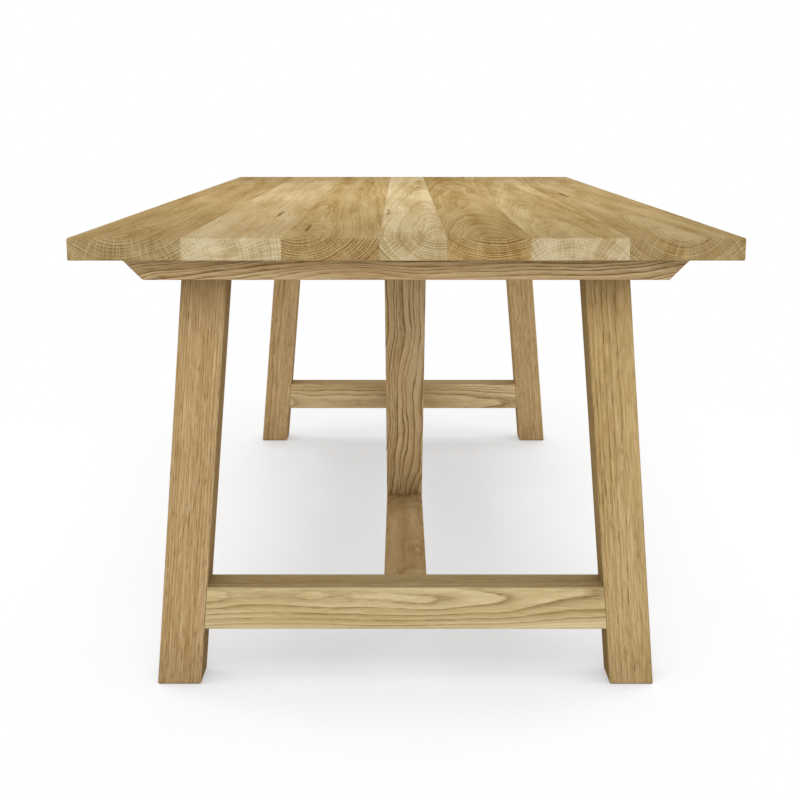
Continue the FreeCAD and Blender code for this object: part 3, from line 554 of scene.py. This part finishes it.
MILLIMETRE = 0.001
facets = 48
thread_facets = 16
thread_sunk = 0.1 * MILLIMETRE
screw_radius = 3.0 * MILLIMETRE
screw_core = 2.1 * MILLIMETRE
screw_pitch = 2.6 * MILLIMETRE
screw_point = 4.0 * MILLIMETRE
thread_start = 12.0 * MILLIMETRE
core_step = 0.5 * MILLIMETRE
head_radius = 7.5 * MILLIMETRE
head_height = 3.0 * MILLIMETRE
rim_thickness = 1.1 * MILLIMETRE
rim_ease = 0.3 * MILLIMETRE
boss_radius = 4.6 * MILLIMETRE
boss_ease = 0.4 * MILLIMETRE
boss_flare = 0.2 * MILLIMETRE
socket_width = 4.0 * MILLIMETRE
socket_depth = 2.0 * MILLIMETRE
upright = Vector((0.0, 0.0, 1.0))


def lathe(shape, outline):
    """Turns an outline, given as radius and height from end to end, once round the z axis."""
    points = [bmesh.ops.create_vert(shape, co=(r, 0.0, z))["vert"][0] for r, z in outline]
    edges = [shape.edges.new(pair) for pair in zip(points, points[1:])]
    bmesh.ops.spin(shape, geom=points + edges, cent=(0.0, 0.0, 0.0), axis=upright, angle=2 * pi,
                   steps=facets, use_merge=True)
    bmesh.ops.remove_doubles(shape, verts=shape.verts, dist=1e-7)


def cut_thread(shape, core, crest, pitch, start, length):
    """Winds a ridge of triangular section round a core, closed at both of its ends."""
    root = core - thread_sunk
    half_width = 0.4 * pitch
    section = ((root, start), (crest, start + half_width), (root, start + 2 * half_width))
    points = [bmesh.ops.create_vert(shape, co=(r, 0.0, z))["vert"][0] for r, z in section]
    edges = [shape.edges.new(pair) for pair in zip(points, points[1:] + points[:1])]
    turns = int(length / pitch) - 1
    bmesh.ops.spin(shape, geom=points + edges, cent=(0.0, 0.0, 0.0), axis=upright,
                   dvec=(0.0, 0.0, pitch / thread_facets), angle=2 * pi * turns,
                   steps=thread_facets * turns, use_merge=False)
    ends = [edge for edge in shape.edges if edge.is_boundary]
    bmesh.ops.holes_fill(shape, edges=ends, sides=3)


def make_screw(length):
    """A screw with its bearing face on the floor plane, its head below and its point on top."""
    shape = bmesh.new()
    lathe(shape, (
        (boss_radius - boss_ease, -head_height), (boss_radius, boss_ease - head_height),
        (boss_radius + boss_flare, -rim_thickness - boss_flare),
        (head_radius - rim_ease, -rim_thickness), (head_radius, rim_ease - rim_thickness),
        (head_radius, 0.0), (screw_radius, 0.0), (screw_radius, thread_start),
        (screw_core, thread_start + core_step), (screw_core, length - screw_point), (0.0, length),
    ))
    rim = [edge for edge in shape.edges if edge.is_boundary]
    head_top = Matrix.Translation((0.0, 0.0, -head_height))
    socket = bmesh.ops.create_circle(shape, segments=6, radius=socket_width / 3 ** 0.5,
                                     matrix=head_top)
    mouth = list({edge for vert in socket["verts"] for edge in vert.link_edges})
    bmesh.ops.subdivide_edges(shape, edges=mouth, cuts=facets // 6 - 1)
    mouth = [edge for edge in shape.edges if edge.is_wire]
    walls = bmesh.ops.extrude_edge_only(shape, edges=mouth)["geom"]
    bottom_corners = [item for item in walls if isinstance(item, bmesh.types.BMVert)]
    bottom_edges = [item for item in walls if isinstance(item, bmesh.types.BMEdge)]
    bmesh.ops.translate(shape, verts=bottom_corners, vec=(0.0, 0.0, socket_depth))
    bmesh.ops.contextual_create(shape, geom=bottom_edges)
    bmesh.ops.bridge_loops(shape, edges=rim + mouth)
    cut_thread(shape, screw_core, screw_radius, screw_pitch, thread_start,
               length - thread_start - screw_point)
    bmesh.ops.recalc_face_normals(shape, faces=shape.faces)
    return shape


def fit_fixings(name, node, shape, places):
    """Sets copies of a shape in their places as one piece that stands for a node."""
    one = bpy.data.meshes.new(name + " pattern")
    shape.to_mesh(one)
    shape.free()
    together = bmesh.new()
    for where in places:
        before = len(together.verts)
        together.from_mesh(one)
        together.verts.ensure_lookup_table()
        bmesh.ops.transform(together, matrix=where, verts=together.verts[before:])
    mesh = bpy.data.meshes.new(name)
    together.to_mesh(mesh)
    together.free()
    bpy.data.meshes.remove(one)
    piece = bpy.data.objects.new(name, mesh)
    mesh.materials.append(zinc)
    scene.collection.objects.link(piece)
    mesh.set_sharp_from_angle(angle=radians(35.0))
    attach(piece, "root")
    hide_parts(node)


low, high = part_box("top_screws")
leg_low, leg_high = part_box("leg_rear_left")
screw_row = high.x - head_radius
outer_row = high.y - head_radius
trestle_middle = (leg_low.y + leg_high.y) / 2
inner_row = 2 * trestle_middle - outer_row
bearing_level = low.z + head_height
upwards = [Matrix.Translation((x, y, bearing_level))
           for x in (-screw_row, screw_row) for y in (-outer_row, -inner_row, inner_row, outer_row)]
fit_fixings("wood_screws_into_the_top", "top_screws", make_screw(high.z - bearing_level), upwards)

low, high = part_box("brace_screws")
head_row = high.x - head_radius
head_level = (low.z + high.z) / 2
head_end = 0.665
bearing_end = head_end + head_height
outwards = []
for way in (-1, 1):
    lying = Matrix.Rotation(-way * pi / 2, 4, "X")
    for x in (-head_row, head_row):
        outwards.append(Matrix.Translation((x, way * bearing_end, head_level)) @ lying)
fit_fixings("wood_screws_into_the_bearers", "brace_screws", make_screw(high.y - bearing_end), outwards)


# --- Stretcher fixings ---------------------------------------------------------------------------
# A threaded stud at each end of the stretcher screws into an insert in the lower rail, and a nut on
# a half-moon washer draws the joint tight in a round recess under the stretcher. All are zinc plated.

edge_ease = 0.4 * MILLIMETRE
stud_radius = 4.0 * MILLIMETRE
stud_core = 3.4 * MILLIMETRE
stud_pitch = 1.25 * MILLIMETRE
stud_length = 90.0 * MILLIMETRE
insert_radius = 6.0 * MILLIMETRE
insert_core = 5.0 * MILLIMETRE
insert_bore = 4.1 * MILLIMETRE
insert_pitch = 3.0 * MILLIMETRE
insert_length = 15.0 * MILLIMETRE
low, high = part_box("stretcher_studs")
stud_level = (low.z + high.z) / 2


def inwards_from(end):
    """The places of a pair of fixings that lie along the stretcher, one from each end inwards."""
    return [Matrix.Translation((0.0, way * end, stud_level)) @ Matrix.Rotation(way * pi / 2, 4, "X")
            for way in (-1, 1)]


shape = bmesh.new()
lathe(shape, ((0.0, 0.0), (stud_core - edge_ease, 0.0), (stud_core, edge_ease),
              (stud_core, stud_length - edge_ease), (stud_core - edge_ease, stud_length),
              (0.0, stud_length)))
cut_thread(shape, stud_core, stud_radius, stud_pitch, edge_ease, stud_length - edge_ease)
bmesh.ops.recalc_face_normals(shape, faces=shape.faces)
fit_fixings("threaded_studs", "stretcher_studs", shape, inwards_from(high.y))

low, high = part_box("stretcher_inserts")
shape = bmesh.new()
lathe(shape, ((insert_bore, edge_ease), (insert_bore, insert_length - edge_ease),
              (insert_bore + edge_ease, insert_length), (insert_core - edge_ease, insert_length),
              (insert_core, insert_length - edge_ease), (insert_core, edge_ease),
              (insert_core - edge_ease, 0.0), (insert_bore + edge_ease, 0.0), (insert_bore, edge_ease)))
cut_thread(shape, insert_core, insert_radius, insert_pitch, edge_ease, insert_length - edge_ease)
bmesh.ops.recalc_face_normals(shape, faces=shape.faces)
fit_fixings("threaded_rail_inserts", "stretcher_inserts", shape, inwards_from(high.y))

for name, node in (("eased_half_moon_washers", "half_moon_washers"),
                   ("eased_hexagon_nuts", "stretcher_nuts")):
    shape = bmesh.new()
    shape.from_mesh(nodes[node].data)
    bmesh.ops.remove_doubles(shape, verts=shape.verts, dist=1e-6)
    bmesh.ops.dissolve_limit(shape, angle_limit=radians(1.0), verts=shape.verts, edges=shape.edges)
    corners = [edge for edge in shape.edges if edge.calc_face_angle(0.0) > radians(30.0)]
    bmesh.ops.bevel(shape, geom=corners, offset=edge_ease, affect="EDGES", segments=2, profile=0.5,
                    material=-1, offset_type="OFFSET", clamp_overlap=True)
    fit_fixings(name, node, shape, [Matrix.Identity(4)])
